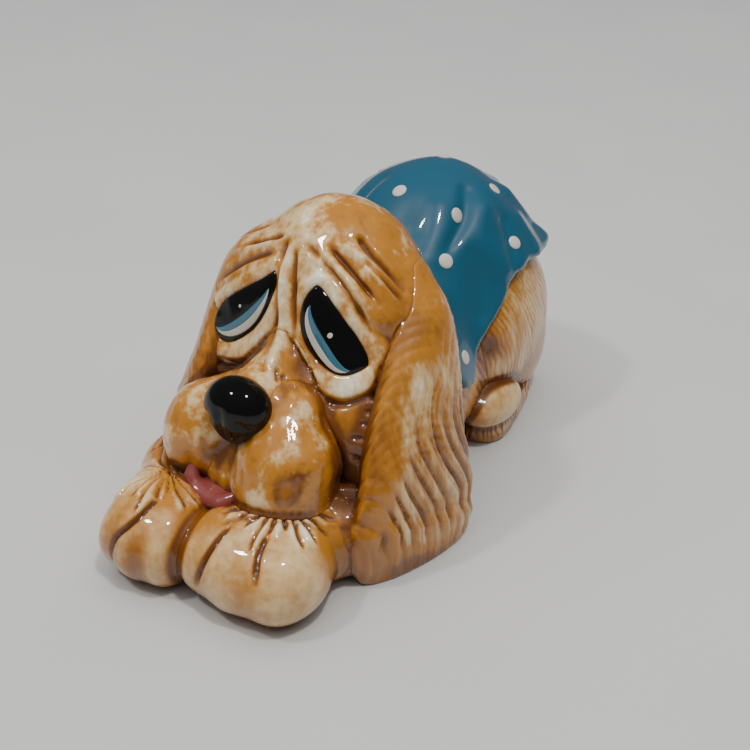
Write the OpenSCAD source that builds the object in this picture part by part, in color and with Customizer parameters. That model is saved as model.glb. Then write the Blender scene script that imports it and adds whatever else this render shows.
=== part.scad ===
// Reclining hound figurine in glazed ceramic, with a spotted blanket over its back.
// Units are millimetres. The dog faces -Y, its left side is +X and it rests on z = 0.
// Every modelled member is its own solid, and each meets its neighbours face to face.

/* [Body] */
// Width of the rump across the hips
rump_width = 46; // [44:0.5:48]
// Height of the top of the rump, under the blanket
rump_top = 55.5; // [53:0.5:57]
// Distance of the rump's middle behind the origin
rump_y = 32; // [30:0.5:34]
// Width of the chest between the forelegs
chest_width = 40; // [38:0.5:42]

/* [Head] */
// Width of the skull
skull_width = 37.6; // [36:0.2:39]
// Height of the top of the skull
skull_top = 63; // [61:0.5:64]
// Turn of the head towards the dog's right, in degrees
head_yaw = -6.3; // [-8:0.1:0]
// Lean of the head, in degrees
head_roll = -2.5; // [-4:0.1:0]

/* [Muzzle] */
// Width of the nose
nose_width = 14; // [12:0.2:15]
// Radius of the left hanging upper lip at its fullest
left_flew_radius = 9.3; // [8.6:0.1:10]
// Radius of the right hanging upper lip at its fullest
right_flew_radius = 8.4; // [7.8:0.1:9.2]
// Radius of the chin
chin_radius = 9; // [8:0.1:10]
// Width of the tongue
tongue_width = 8; // [6:0.2:9]

/* [Eyes] */
// Distance between the middles of the eyes
eye_spacing = 22.4; // [21:0.2:24]
// Width of each eye
eye_width = 16; // [15:0.2:17]
// Height of each eye
eye_height = 21; // [19:0.2:22]
// Outward lean of each eye's lower end, in degrees
eye_lean = 12; // [6:1:18]
// Outward turn of each eye, in degrees
eye_turn = 14; // [8:1:18]
// Thickness of the roll of clay round each eye
lid_thickness = 2.6; // [2:0.1:3]

/* [Ears] */
// Width of each ear's curled lower end
ear_width = 31; // [27:0.5:32]
// Thickness of each ear
ear_thickness = 7; // [6:0.2:8]

/* [Legs] */
// Thickness of each foreleg
foreleg_thickness = 18; // [16:0.5:18.5]
// Width of the left forepaw, which points across the body
left_paw_width = 28; // [26:0.5:29]
// Width of the right forepaw
right_paw_width = 18.5; // [17:0.5:20]
// Height of the forepaws
paw_height = 17; // [15:0.5:18]
// Length of each thigh
thigh_length = 36; // [34:0.5:37]
// Thickness of the tail
tail_thickness = 8; // [7:0.2:9]

/* [Blanket] */
// Thickness of the blanket
blanket_thickness = 1.8; // [1.4:0.1:2.2]
// Width of each raised white dot
dot_width = 3.4; // [2.6:0.1:4]

/* [Casting] */
// Wall thickness of the hollow body and head
wall = 4; // [3:0.25:4.5]
// Thickness of the flat unglazed floor
floor_thickness = 3; // [2.5:0.25:4]
// Width of the vent hole in the floor
vent_width = 8; // [6:0.5:10]

/* [Hidden] */

// Roundness of the large members, of the limbs and of the small trim
body_fn = 26;
limb_fn = 18;
trim_fn = 8;

// Glazes
cream = [0.90, 0.80, 0.62];
amber = [0.76, 0.48, 0.24];
brown = [0.55, 0.29, 0.13];
bisque = [0.86, 0.80, 0.72];
blue = [0.11, 0.40, 0.55];
black = [0.02, 0.02, 0.02];
white = [0.95, 0.94, 0.92];
pink = [0.72, 0.33, 0.33];

// Torso: [centre, semi-axes] of the eggs that it is built from
rump_z = 28.5;
torso_eggs = [
    [[0, 2, 22], [chest_width / 2, 22, 20]],
    [[0, rump_y - 14, 25], [chest_width / 2 + 1, 20, 23.5]],
    [[0, rump_y, rump_z], [rump_width / 2, 24, rump_top - rump_z]],
    [[0, 8, 14], [chest_width / 2 + 2.5, 30, 16]]
];

// Flat base of the casting: a slot-shaped outline
base_radius = 18;
base_front_y = -2;
base_rear_y = 34;
base_height = 12;
floor_radius = base_radius - wall;
floor_clearance = 0.15;
vent_y = 16;

// Head: the skull's eggs, in the head's own upright frame
head_pivot = [0, -8, 40];
skull_z = 43;
skull_eggs = [
    [[-0.5, -8.5, skull_z], [skull_width / 2, 16, skull_top - skull_z]],
    [[0, -12, 34], [skull_width / 2 - 0.3, 14.5, 20]]
];
// Mound behind each eye, from the cheek to the brow, and the cheek below it
mound_centre = [9.5, -15.5, 41];
mound_size = [11, 8.5, 14];
cheek_centre = [12.5, -20.5, 29];
cheek_size = [9, 9, 9.5];

// Muzzle, in the head's frame
bridge_points = [[0, -18, 42], [0, -27, 37], [0, -38, 32.5]];
bridge_radii = [6, 5.4, 6.2];
nose_centre = [0, -42.3, 33];
nose_size = [nose_width / 2, 5.4, 5.8];
left_flew_points = [[5, -35, 28], [8.2, -39, 21], [8.2, -41, 17.4]];
right_flew_points = [[-5, -35, 28], [-11.5, -38, 23], [-12, -39.5, 20]];
chin_centre = [-1, -38, 16];
tongue_points = [[-2, -42, 16], [-3, -47, 15], [-4, -50, 13.5]];

// Eyes, in the head's frame
eye_y = -22.8;
eye_z = 41.5;
eye_depth = 5;
paint_thickness = 0.4;
lid_steps = 14;
iris_offset = [-0.6, -2.2];
iris_size = [5.6, 6.8];
pupil_offset = [-0.4, 1.0];
pupil_size = [4.6, 6.0];
catchlight_offset = [-0.6, 0.6];
catchlight_radius = 0.8;

// Ears: a flattened chain from beside the crown to the curled lock on the ground
ear_points = [[15, -9, 48], [19.5, -12, 42], [22.5, -17, 33], [24.5, -23, 20], [27, -27.5, 8]];
ear_half_widths = [5, 7.5, 10.5, 14, ear_width / 2];
ear_half_depths = [1.15, 1.15, 1.15, 1, 1.25] * ear_thickness / 2;
ear_turn = -21;

// Legs
left_foreleg_points = [[19, -12, 8], [17, -26, 7.5], [14, -38, 7.5]];
right_foreleg_points = [[-20, -12, 8], [-21.5, -26, 7.5], [-22, -36, 7.5]];
left_wrist_points = [[14, -38, 7.5], [8.5, -50, 7.5]];
right_wrist_points = [[-22, -36, 7.5], [-16.5, -50, 7.5]];
left_paw_centre = [6.4, -53.8, 0];
right_paw_centre = [-14.8, -54.6, 0];
left_paw_turn = -4;
right_paw_turn = -5;
paw_length = 21;
thigh_centre = [14, 35, 21];
thigh_turn = -8;
flank_centre = [18.5, 26, 21];
flank_size = [8, 12, 12];
hock_centre = [16.5, 40, 10];
hock_size = [9, 13, 11];
hind_paw_points = [[19, 33, 6], [21.5, 24, 7]];
hind_toe_centre = [22.3, 18.5, 9.4];
hind_toe_size = [5.6, 10.2, 5.8];
hind_sole_points = [[18, 35, 3], [20, 27, 3], [20.8, 19.5, 2.5]];
hind_sole_radii = [8, 7, 6.4];
tail_points = [[4, 50, 16], [1, 54, 11], [-5, 55, 7], [-11, 54, 5], [-16, 51, 4.5]];

// Blanket: heights of the hem along the body, as [y, z] from front to rear
hem = [[-12, 44], [-3, 28], [6, 19], [10, 20], [17, 28], [28, 33], [44, 36], [60, 38]];
// Each dot as [y on the body's axis, turn from +X, climb], angles in degrees
left_dots = [[24, -112, 79], [32, 9, 59], [28, -34, 58], [32, -8, 34], [18, -23, 48], [6, -8, -3]];
right_dots = [
    [30, 168, 60], [26, 205, 56], [32, 186, 33], [17, 200, 46], [5, 187, -2],
    [36, 140, 42], [38, 92, 36], [34, 50, 33]
];
dot_height = 0.5;
dot_rod_start = 18;

// ---- Shared shapes ----

// Ellipsoid of semi-axes r round c, turned by angles
module egg(c, r, angles = [0, 0, 0], fn = body_fn)
    translate(c) rotate(angles) hull() scale(r) sphere(1, $fn = fn);

// Tapered limb through points, with a radius at each
module limb(points, radii, fn = limb_fn)
    for (i = [1 : len(points) - 1])
        hull()
            for (j = [i - 1, i])
                translate(points[j]) sphere(radii[j], $fn = fn);

// Slot-shaped outline of the base, as a solid of height h
module base_slot(r, h) {
    for (y = [base_front_y, base_rear_y])
        translate([0, y, 0]) cylinder(r = r, h = h, $fn = 64);
    translate([-r, base_front_y, 0]) cube([2 * r, base_rear_y - base_front_y, h]);
}

// Keeps what stands above the ground
module grounded()
    intersection() {
        union() children();
        translate([-80, -80, 0]) cube([160, 160, 100]);
    }

// Places the head's frame in the figurine's
module head_pose()
    translate(head_pivot) rotate([0, head_roll, head_yaw]) translate(-head_pivot) children();

// Mirrors children to the dog's right when side is -1
module on_side(side)
    mirror([side < 0 ? 1 : 0, 0, 0]) children();

// ---- Forms: whole members, before they are fitted to each other ----

module torso_form(grow = 0) {
    for (e = torso_eggs) egg(e[0], e[1] + [grow, grow, grow]);
    if (grow == 0) base_slot(base_radius, base_height);
}

module torso_cavity() {
    for (e = torso_eggs) egg(e[0], e[1] - [wall, wall, wall], fn = limb_fn);
    translate([0, 0, -1]) base_slot(floor_radius + floor_clearance, base_height);
}

module head_form()
    head_pose() {
        for (e = skull_eggs) egg(e[0], e[1]);
        for (side = [1, -1]) on_side(side) {
            egg(mound_centre, mound_size, fn = 22);
            egg(cheek_centre, cheek_size, fn = 22);
        }
    }

module head_cavity()
    head_pose() for (e = skull_eggs) egg(e[0], e[1] - [wall, wall, wall], fn = limb_fn);

module bridge_form() head_pose() limb(bridge_points, bridge_radii);

module nose_form() head_pose() egg(nose_centre, nose_size, fn = 24);

module flew_form(points, r) head_pose() limb(points, [r - 1.7, r - 0.2, r], fn = 22);
module left_flew_form() flew_form(left_flew_points, left_flew_radius);
module right_flew_form() flew_form(right_flew_points, right_flew_radius);

module chin_form() head_pose() egg(chin_centre, [chin_radius + 1, chin_radius, chin_radius], fn = 20);

module tongue_form()
    head_pose()
        for (i = [1, 2])
            hull()
                for (j = [i - 1, i])
                    translate(tongue_points[j]) scale([tongue_width / 4, 1.5, 1]) sphere(2, $fn = 16);

// Puts children at an eye, where -Y looks out of the eye and +Z is its upper end
module at_eye(side)
    head_pose() on_side(side)
        translate([eye_spacing / 2, eye_y, eye_z]) rotate([0, 0, eye_turn]) rotate([0, eye_lean, 0])
            children();

module eye_form(side, grow = 0)
    at_eye(side)
        egg([0, 0, 0], [eye_width / 2 + grow, eye_depth + grow, eye_height / 2 + grow], fn = 20);

// Rolls of clay round the eye: an oval ring just outside the eyeball
module eyelid_form(side) {
    rx = eye_width / 2;
    rz = eye_height / 2;
    at_eye(side)
        for (i = [0 : lid_steps - 1])
            hull()
                for (a = [i, i + 1] * 360 / lid_steps)
                    translate([rx * cos(a), -1, rz * sin(a)]) sphere(d = lid_thickness, $fn = trim_fn);
}

// Glaze spot on the eye: an oval patch that hugs the eyeball, layer deep
module eye_spot(side, offset, size, layers)
    intersection() {
        eye_form(side, grow = paint_thickness * layers);
        at_eye(side)
            translate([offset[0], 0, offset[1]]) rotate([90, 0, 0])
                scale([size[0], size[1], 1]) cylinder(r = 1, h = 2 * eye_depth, $fn = 20);
    }

module iris_form(side) eye_spot(side, iris_offset, iris_size, 1);
module pupil_form(side) eye_spot(side, pupil_offset, pupil_size, 2);
module catchlight_form(side)
    eye_spot(side, catchlight_offset, [catchlight_radius, catchlight_radius], 3);

// One ear: neighbouring flattened stations joined in a chain
module ear_form(side)
    on_side(side)
        for (i = [1 : len(ear_points) - 1])
            hull()
                for (j = [i - 1, i])
                    translate(ear_points[j]) rotate([0, 0, ear_turn])
                        scale([ear_half_depths[j], ear_half_widths[j], ear_half_widths[j]])
                            sphere(1, $fn = 22);

module foreleg_form(points)
    limb(points, [for (p = points) foreleg_thickness / 2]);

// Forepaw: a wrist, a broad pad and three toes that fan out
module forepaw_form(wrist, centre, turn, width) {
    limb(wrist, [foreleg_thickness / 2 - 0.4, paw_height / 2]);
    translate(centre + [0, 0, paw_height / 2 - 0.5]) rotate([0, 0, turn]) {
        egg([0, 1.5, 0], [width / 2, paw_length / 2 - 1.5, paw_height / 2], fn = 20);
        for (i = [-1, 0, 1])
            egg([i * width * 0.28, i == 0 ? -0.8 : 0, -0.4],
                [width * 0.235, paw_length / 2 - 1.2, paw_height / 2 - 0.8],
                [0, 0, i * 8], fn = 16);
    }
}

module left_forepaw_form()
    forepaw_form(left_wrist_points, left_paw_centre, left_paw_turn, left_paw_width);
module right_forepaw_form()
    forepaw_form(right_wrist_points, right_paw_centre, right_paw_turn, right_paw_width);

// Thigh with the flank in front of it and the hock below it
module thigh_form(side, grow = 0)
    on_side(side) {
        egg(thigh_centre, [13 + grow, thigh_length / 2 + grow, 20.5 + grow], [0, 0, thigh_turn]);
        egg(flank_centre, flank_size + [grow, grow, grow], fn = 22);
        egg(hock_centre, hock_size + [grow, grow, grow], fn = 22);
    }

module hind_paw_form(side)
    on_side(side) {
        limb(hind_paw_points, [7, 6], fn = 16);
        egg(hind_toe_centre, hind_toe_size, fn = 20);
    }

module hind_sole_form(side)
    on_side(side) limb(hind_sole_points, hind_sole_radii, fn = 18);

module tail_form()
    limb(tail_points, [for (i = [0 : 4]) tail_thickness / 2 * (1 - 0.05 * i)], fn = 14);

// Everything at or above the blanket's hem
module above_hem()
    translate([-60, 0, 0]) rotate([90, 0, 90])
        linear_extrude(120) polygon(concat(hem, [[60, 90], [-12, 90]]));

module blanket_form(grow = 0)
    intersection() {
        union() {
            torso_form(blanket_thickness + grow);
            for (side = [1, -1]) thigh_form(side, blanket_thickness + grow);
        }
        above_hem();
    }

// Rods that stand out of the body's axis, one for each dot
module dot_rods()
    for (d = concat(left_dots, right_dots))
        translate([0, d[0], rump_z])
            rotate([0, -d[2], d[1]]) translate([dot_rod_start, 0, 0]) rotate([0, 90, 0])
                cylinder(d = dot_width, h = 40, $fn = 14);

// ---- Sub-parts: each form less the neighbours that take precedence ----

module torso_shell()
    color(amber)
        difference() {
            grounded() torso_form();
            torso_cavity();
            head_cavity();
        }

module base_floor()
    color(bisque)
        difference() {
            base_slot(floor_radius, floor_thickness);
            translate([0, vent_y, -1]) cylinder(d = vent_width, h = floor_thickness + 2, $fn = 48);
        }

module head_shell()
    color(cream)
        difference() {
            head_form();
            head_cavity();
            torso_form();
        }

module nose() color(black) nose_form();

module muzzle_bridge()
    color(cream)
        difference() {
            bridge_form();
            head_form();
            nose_form();
        }

module left_flew()
    color(amber)
        difference() {
            left_flew_form();
            head_form();
            bridge_form();
            nose_form();
        }

module right_flew()
    color(amber)
        difference() {
            right_flew_form();
            head_form();
            bridge_form();
            nose_form();
            left_flew_form();
        }

module both_flew_forms() {
    left_flew_form();
    right_flew_form();
}

module tongue()
    color(pink)
        difference() {
            tongue_form();
            both_flew_forms();
        }

module chin()
    color(brown)
        difference() {
            chin_form();
            both_flew_forms();
            tongue_form();
            head_form();
            torso_form();
        }

module eyeball(side)
    color(cream)
        difference() {
            eye_form(side);
            head_form();
            bridge_form();
            eyelid_form(side);
        }

module eyelid(side)
    color(cream)
        difference() {
            eyelid_form(side);
            head_form();
            bridge_form();
            if (side < 0) eyelid_form(1);
        }

// A layer of eye glaze, less what lies under or beside it
module eye_layer(side)
    difference() {
        children(0);
        eye_form(side);
        eyelid_form(side);
        bridge_form();
        head_form();
        if ($children > 1) children([1 : $children - 1]);
    }

module iris(side)
    color(blue)
        eye_layer(side) {
            iris_form(side);
            pupil_form(side);
        }

module pupil(side)
    color(black)
        eye_layer(side) {
            pupil_form(side);
            catchlight_form(side);
        }

module catchlights()
    color(white)
        for (side = [1, -1])
            eye_layer(side) catchlight_form(side);

module muzzle_forms() {
    both_flew_forms();
    chin_form();
    tongue_form();
}

module left_forepaw()
    color(cream)
        difference() {
            grounded() left_forepaw_form();
            muzzle_forms();
            torso_form();
            head_form();
        }

module right_forepaw()
    color(cream)
        difference() {
            grounded() right_forepaw_form();
            left_forepaw_form();
            muzzle_forms();
            torso_form();
            head_form();
        }

module foreleg(points)
    color(amber)
        difference() {
            grounded() foreleg_form(points);
            left_forepaw_form();
            right_forepaw_form();
            muzzle_forms();
            torso_form();
            head_form();
        }

module ear(side)
    color(cream)
        difference() {
            grounded() ear_form(side);
            foreleg_form(side > 0 ? left_foreleg_points : right_foreleg_points);
            left_forepaw_form();
            right_forepaw_form();
            muzzle_forms();
            torso_form();
            head_form();
            eyelid_form(side);
        }

module thigh(side)
    color(amber)
        difference() {
            grounded() thigh_form(side);
            torso_form();
            if (side < 0) thigh_form(1);
            ear_form(side);
        }

module hind_paw(side)
    color(cream)
        difference() {
            grounded() hind_paw_form(side);
            thigh_form(side);
            torso_form();
            hind_sole_form(side);
        }

module hind_sole(side)
    color(brown)
        difference() {
            grounded() hind_sole_form(side);
            thigh_form(side);
            torso_form();
        }

module tail()
    color(cream)
        difference() {
            grounded() tail_form();
            torso_form();
            thigh_form(1);
            thigh_form(-1);
        }

module blanket()
    color(blue)
        difference() {
            blanket_form();
            torso_form();
            for (side = [1, -1]) {
                thigh_form(side);
                ear_form(side);
            }
            head_form();
        }

module blanket_dots()
    color(white)
        difference() {
            intersection() {
                blanket_form(dot_height);
                dot_rods();
            }
            blanket_form();
            head_form();
            ear_form(1);
            ear_form(-1);
        }

torso_shell();
base_floor();
head_shell();
muzzle_bridge();
left_flew();
right_flew();
chin();
nose();
tongue();
eyeball(1);  // left_eyeball
eyeball(-1);  // right_eyeball
eyelid(1);  // left_eyelid
eyelid(-1);  // right_eyelid
iris(1);  // left_iris
iris(-1);  // right_iris
pupil(1);  // left_pupil
pupil(-1);  // right_pupil
catchlights();
ear(1);  // left_ear
ear(-1);  // right_ear
foreleg(left_foreleg_points);  // left_foreleg
foreleg(right_foreleg_points);  // right_foreleg
left_forepaw();
right_forepaw();
thigh(1);  // left_thigh
thigh(-1);  // right_thigh
hind_paw(1);  // left_hind_paw
hind_paw(-1);  // right_hind_paw
hind_sole(1);  // left_hind_sole
hind_sole(-1);  // right_hind_sole
tail();
blanket();
blanket_dots();
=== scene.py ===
# %% [markdown]
# # A glazed ceramic hound
#
# This lesson sculpts a small slip-cast dog: a sad-eyed hound that lies with its muzzle on its
# paws and a spotted blanket over its back. The real figurine is soft, rounded clay with cut
# fur, washed with brown stain that gathers in the cuts, and covered by a thick clear glaze.
#
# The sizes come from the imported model, which is loaded first and stays fixed. Every visible
# piece then takes the place of one or more of its nodes.

# %% Load the fixed frame
import math

import bpy
import numpy as np
import openvdb
from mathutils import Matrix, Vector


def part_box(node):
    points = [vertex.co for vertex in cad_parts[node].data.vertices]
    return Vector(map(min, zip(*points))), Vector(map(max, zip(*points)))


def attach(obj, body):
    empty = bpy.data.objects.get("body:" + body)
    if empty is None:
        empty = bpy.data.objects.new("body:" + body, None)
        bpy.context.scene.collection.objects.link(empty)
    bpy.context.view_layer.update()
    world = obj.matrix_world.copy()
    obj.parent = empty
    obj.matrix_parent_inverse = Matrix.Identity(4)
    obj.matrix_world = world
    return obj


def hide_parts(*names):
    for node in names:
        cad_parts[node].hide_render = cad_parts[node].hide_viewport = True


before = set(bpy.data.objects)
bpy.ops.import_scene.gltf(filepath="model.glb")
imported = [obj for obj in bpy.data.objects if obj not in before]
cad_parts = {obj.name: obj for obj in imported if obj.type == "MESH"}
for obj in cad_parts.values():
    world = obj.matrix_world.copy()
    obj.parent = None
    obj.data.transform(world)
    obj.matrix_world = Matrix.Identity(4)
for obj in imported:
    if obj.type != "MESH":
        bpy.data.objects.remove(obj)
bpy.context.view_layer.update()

# %% [markdown]
# ## Shapes as distance fields
#
# Clay members melt into each other, which is awkward to do by joining meshes. A distance field
# makes it easy: it is a function that gives, for any point, how far outside the clay it is
# (negative inside). Two fields blend into one with a soft fillet by a single formula, and the
# surface is wherever the result is zero. All lengths in the fields are millimetres.

# %% Field helpers
MM = 0.001


def turned(x=0, y=0, z=0):
    """Rotation matrix for turns about X, then Y, then Z, in degrees."""
    x, y, z = (math.radians(a) for a in (x, y, z))
    turn_x = np.array([[1, 0, 0], [0, math.cos(x), -math.sin(x)], [0, math.sin(x), math.cos(x)]])
    turn_y = np.array([[math.cos(y), 0, math.sin(y)], [0, 1, 0], [-math.sin(y), 0, math.cos(y)]])
    turn_z = np.array([[math.cos(z), -math.sin(z), 0], [math.sin(z), math.cos(z), 0], [0, 0, 1]])
    return (turn_z @ turn_y @ turn_x).astype(np.float32)


def egg(p, centre, radii, turn=None):
    """Distance to an ellipsoid."""
    q = p - np.array(centre, np.float32)
    if turn is not None:
        q = q @ turned(*turn)
    r = np.array(radii, np.float32)
    k0 = np.sqrt(((q / r) ** 2).sum(-1))
    k1 = np.sqrt(((q / (r * r)) ** 2).sum(-1))
    return k0 * (k0 - 1) / np.maximum(k1, 1e-6)


def blend(a, b, soft):
    """Union with a fillet about soft wide."""
    h = np.maximum(soft - np.abs(a - b), 0) / soft
    return np.minimum(a, b) - h * h * soft * 0.25


def both(a, b, soft):
    """Intersection with a rounded edge."""
    return -blend(-a, -b, soft)


def limb(p, points, radii, soft=0.0):
    """Distance to a chain of tapered, round-ended rods."""
    out = None
    for a, b, ra, rb in zip(points[:-1], points[1:], radii[:-1], radii[1:]):
        a = np.array(a, np.float32)
        ab = np.array(b, np.float32) - a
        t = np.clip(((p - a) @ ab) / (ab @ ab), 0, 1)
        d = np.sqrt(((p - a - t[:, None] * ab) ** 2).sum(-1)) - (ra + (rb - ra) * t)
        out = d if out is None else (blend(out, d, soft) if soft else np.minimum(out, d))
    return out


def smooth_curve(points, steps=6):
    """Points on a Catmull-Rom curve through the given points."""
    pts = [np.array(q, float) for q in points]
    pts = [2 * pts[0] - pts[1]] + pts + [2 * pts[-1] - pts[-2]]
    out = []
    for i in range(1, len(pts) - 2):
        a, b, c, d = pts[i - 1:i + 3]
        for t in np.arange(steps) / steps:
            out.append(0.5 * (2 * b + (c - a) * t + (2 * a - 5 * b + 4 * c - d) * t ** 2
                              + (3 * b - 3 * c + d - a) * t ** 3))
    out.append(pts[-2])
    return np.array(out, np.float32)


def step(x, low, high):
    """0 below low, 1 above high and smooth between."""
    t = np.clip((x - low) / (high - low), 0, 1)
    return t * t * (3 - 2 * t)


def ripple(p, size, seed):
    """Smooth wandering value between about -1 and 1, made of a few crossed waves."""
    rng = np.random.default_rng(seed)
    out = 0
    for _ in range(5):
        way = rng.normal(size=3)
        way *= 2 * math.pi / (size * rng.uniform(0.7, 1.6) * np.linalg.norm(way))
        out = out + np.sin(p @ way.astype(np.float32) + rng.uniform(0, 6.28))
    return out / 3


print("field helpers ready")

# %% [markdown]
# ## The head's own frame
#
# The head turns a little to the dog's right and leans. Members of the head are easier to place
# in an upright frame that is then turned as one, so points are moved back into it first.

# %% Head frame
HEAD_PIVOT = np.array([0, -8, 40], np.float32)
HEAD_TURN = turned(0, -2.5, -6.3)


def to_head(p):
    return (p - HEAD_PIVOT) @ HEAD_TURN + HEAD_PIVOT


def from_head(p):
    return (np.asarray(p, np.float32) - HEAD_PIVOT) @ HEAD_TURN.T + HEAD_PIVOT


def flipped(p):
    return p * np.array([-1, 1, 1], np.float32)


# %% [markdown]
# ## Body, thighs and tail
#
# The trunk is a chest and a higher rump. The thighs swell from its sides, the toes peep out in
# front of them and a band of cut fur lies under the toes.

# %% Body members
def torso(p):
    d = egg(p, (0, 2, 22), (20, 22, 20))
    d = blend(d, egg(p, (0, 32, 28.5), (23, 24, 27)), 10)
    return blend(d, egg(p, (0, 8, 14), (22.5, 30, 16)), 8)


def thigh(p):
    d = egg(p, (14, 35, 21), (13, 18, 20.5), (0, 0, -8))
    d = blend(d, egg(p, (18.5, 26, 21), (8, 12, 12)), 6)
    return blend(d, egg(p, (16.5, 40, 10), (9, 13, 11)), 5)


def hind_paw(p):
    return egg(p, (22.6, 19.2, 8.8), (6.2, 9.4, 5.3), (0, 0, -8))


def hind_sole(p):
    d = limb(p, [(18, 35, 3), (20, 27, 3), (20.8, 19.5, 2.5)], [8, 7, 6.4])
    return both(d, p[:, 2] - 6.2, 1.0)


def tail(p):
    points = [(4, 50, 16), (1, 54, 11), (-5, 55, 7), (-11, 54, 5), (-16, 51, 4.5)]
    return limb(p, points, [4, 4, 3.8, 3.6, 2.8], 1.0)


# %% [markdown]
# ## Head, muzzle and ears
#
# Skull, brows, cheeks and the mounds behind the eyes are eggs that blend softly. The hanging
# lips are fuller rods that meet in a crease under the nose. Each ear is a flat chain from the
# crown to the ground that swells into a curled end.

# %% Head members
def skull(p):
    q = to_head(p)
    d = egg(q, (-0.5, -8.5, 43), (18.8, 16, 20))
    d = blend(d, egg(q, (0, -12, 34), (18.5, 14.5, 20)), 8)
    d = blend(d, egg(q, (9.5, -15.5, 41), (10.5, 8.2, 13.5)), 5)
    d = blend(d, egg(q, (-10.5, -16.5, 41), (10.5, 8.4, 13.5)), 5)
    for side in (1, -1):
        d = blend(d, egg(q, (12.5 * side, -20.5, 29), (9, 9.5, 10)), 6)
    d = blend(d, egg(q, (13, -26, 19), (9, 8, 12)), 5)
    return blend(d, egg(q, (-15.5, -14.5, 40), (7.5, 10, 13)), 5)


def bridge(p):
    q = to_head(p)
    d = limb(q, [(-0.5, -18, 46), (0, -26, 37.5), (0, -37.5, 32.5)], [3.2, 3.6, 5.6], 2)
    return blend(d, egg(q, (0, -28, 30.5), (9.5, 7, 6.5)), 4)


def nose(p):
    q = to_head(p)
    d = egg(q, (0, -42.3, 33.0), (7.0, 5.4, 5.8))
    return blend(d, egg(q, (0, -42.0, 29.5), (3.2, 4.2, 4.2)), 3)


def left_flew(p):
    return limb(to_head(p), [(5, -35, 28), (8.2, -39, 21), (8.2, -41, 17.4)], [7.6, 9.1, 9.3], 3)


def right_flew(p):
    return limb(to_head(p), [(-5, -35, 28), (-11.5, -38, 23), (-12, -39.5, 20)], [7.2, 8.4, 8.2], 3)


def chin(p):
    return egg(to_head(p), (-1, -38, 16), (10, 9, 9))


def tongue(p):
    curl = [(-9.5, -45.5, 20), (-9, -47.5, 17), (-7, -48.5, 15),
            (-4, -49, 14.3), (-0.5, -49.2, 14.8), (2, -47, 16)]
    q = to_head(p)
    d = limb(q, curl, [1.1, 1.4, 1.5, 1.5, 1.5, 1.3], 0.6)
    return blend(d, egg(q, (-4, -44.5, 15), (5, 5, 1.8)), 1.5)


EAR_STEPS = 5
LEFT_EAR = smooth_curve(
    [(15, -9, 48), (19.5, -12, 42), (22.5, -18, 33), (24.5, -24, 20), (27.3, -28.3, 8)], EAR_STEPS)
RIGHT_EAR = smooth_curve(
    [(15, -9, 50), (20.5, -11.5, 44), (23.6, -15.5, 34), (25.5, -21, 20), (27.6, -25.5, 8)], EAR_STEPS)
EAR_HALF_WIDTHS, EAR_HALF_DEPTHS = [5, 7, 10, 13.5, 16], [4, 4, 4, 3.6, 4.2]
EAR_WIDTHS = np.interp(np.linspace(0, 4, len(LEFT_EAR)), range(5), EAR_HALF_WIDTHS)
EAR_DEPTHS = np.interp(np.linspace(0, 4, len(LEFT_EAR)), range(5), EAR_HALF_DEPTHS)
EAR_OUT = np.array([0.93, -0.36, 0], np.float32)


def ear_place(p, path):
    """Distance to an ear, how far down it a point is (0 to 1) and its place across it."""
    best = np.full(len(p), 1e9, np.float32)
    down = np.zeros(len(p), np.float32)
    across = np.zeros(len(p), np.float32)
    last = len(path) - 1
    for i in range(last):
        a = path[i]
        ab = path[i + 1] - a
        t = np.clip(((p - a) @ ab) / (ab @ ab), 0, 1)
        q = p - a - t[:, None] * ab
        w = EAR_WIDTHS[i] + (EAR_WIDTHS[i + 1] - EAR_WIDTHS[i]) * t
        th = EAR_DEPTHS[i] + (EAR_DEPTHS[i + 1] - EAR_DEPTHS[i]) * t
        out = q @ EAR_OUT
        side_way = np.cross(ab / np.linalg.norm(ab), EAR_OUT).astype(np.float32)
        flat = np.sqrt(np.maximum((q ** 2).sum(-1) - out ** 2, 0))
        k0 = np.sqrt((out / th) ** 2 + (flat / w) ** 2)
        k1 = np.sqrt((out / th ** 2) ** 2 + (flat / w ** 2) ** 2)
        d = k0 * (k0 - 1) / np.maximum(k1, 1e-6)
        near = d < best
        down = np.where(near, (i + t) / last, down)
        across = np.where(near, q @ side_way, across)
        best = np.minimum(best, d)
    return best, down, across


def left_ear(p):
    return ear_place(p, LEFT_EAR)[0]


def right_ear(p):
    return ear_place(flipped(p), RIGHT_EAR)[0]


# %% [markdown]
# ## Forelegs and paws
#
# The left paw crosses in front of the chest. Each paw is a pad with three toes.

# %% Leg members
FORELEG_RADIUS = 9


def left_foreleg(p):
    return limb(p, [(19, -12, 8), (17, -26, 7.5), (14, -38, 7.5)], [FORELEG_RADIUS] * 3, 2)


def right_foreleg(p):
    return limb(p, [(-20, -12, 8), (-21.5, -26, 7.5), (-22, -36, 7.5)], [FORELEG_RADIUS] * 3, 2)


def paw(p, wrist, centre, turn, width):
    """A wrist, a pad and three toes that fan out from a centre on the ground."""
    d = limb(p, wrist, [8.6, 8.5])
    q = (p - np.array(centre, np.float32)) @ turned(0, 0, turn)
    d = blend(d, egg(q, (0, 1.5, 8), (width / 2, 9.2, 8.2)), 3)
    for i in (-1, 0, 1):
        toe_centre = (i * width * 0.27, -0.8 if i == 0 else 0.2, 7.3)
        toe = egg(q, toe_centre, (width * 0.22, 9.3, 7.4), (0, 0, i * 8))
        d = blend(d, toe, 5)
    return d


def left_paw(p):
    return paw(p, [(14, -38, 7.5), (8.5, -50, 7.5)], (6.4, -53.8, 0), -4, 28)


def right_paw(p):
    return paw(p, [(-22, -36, 7.5), (-16.5, -50, 7.5)], (-14.8, -54.6, 0), -5, 18.5)


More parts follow.
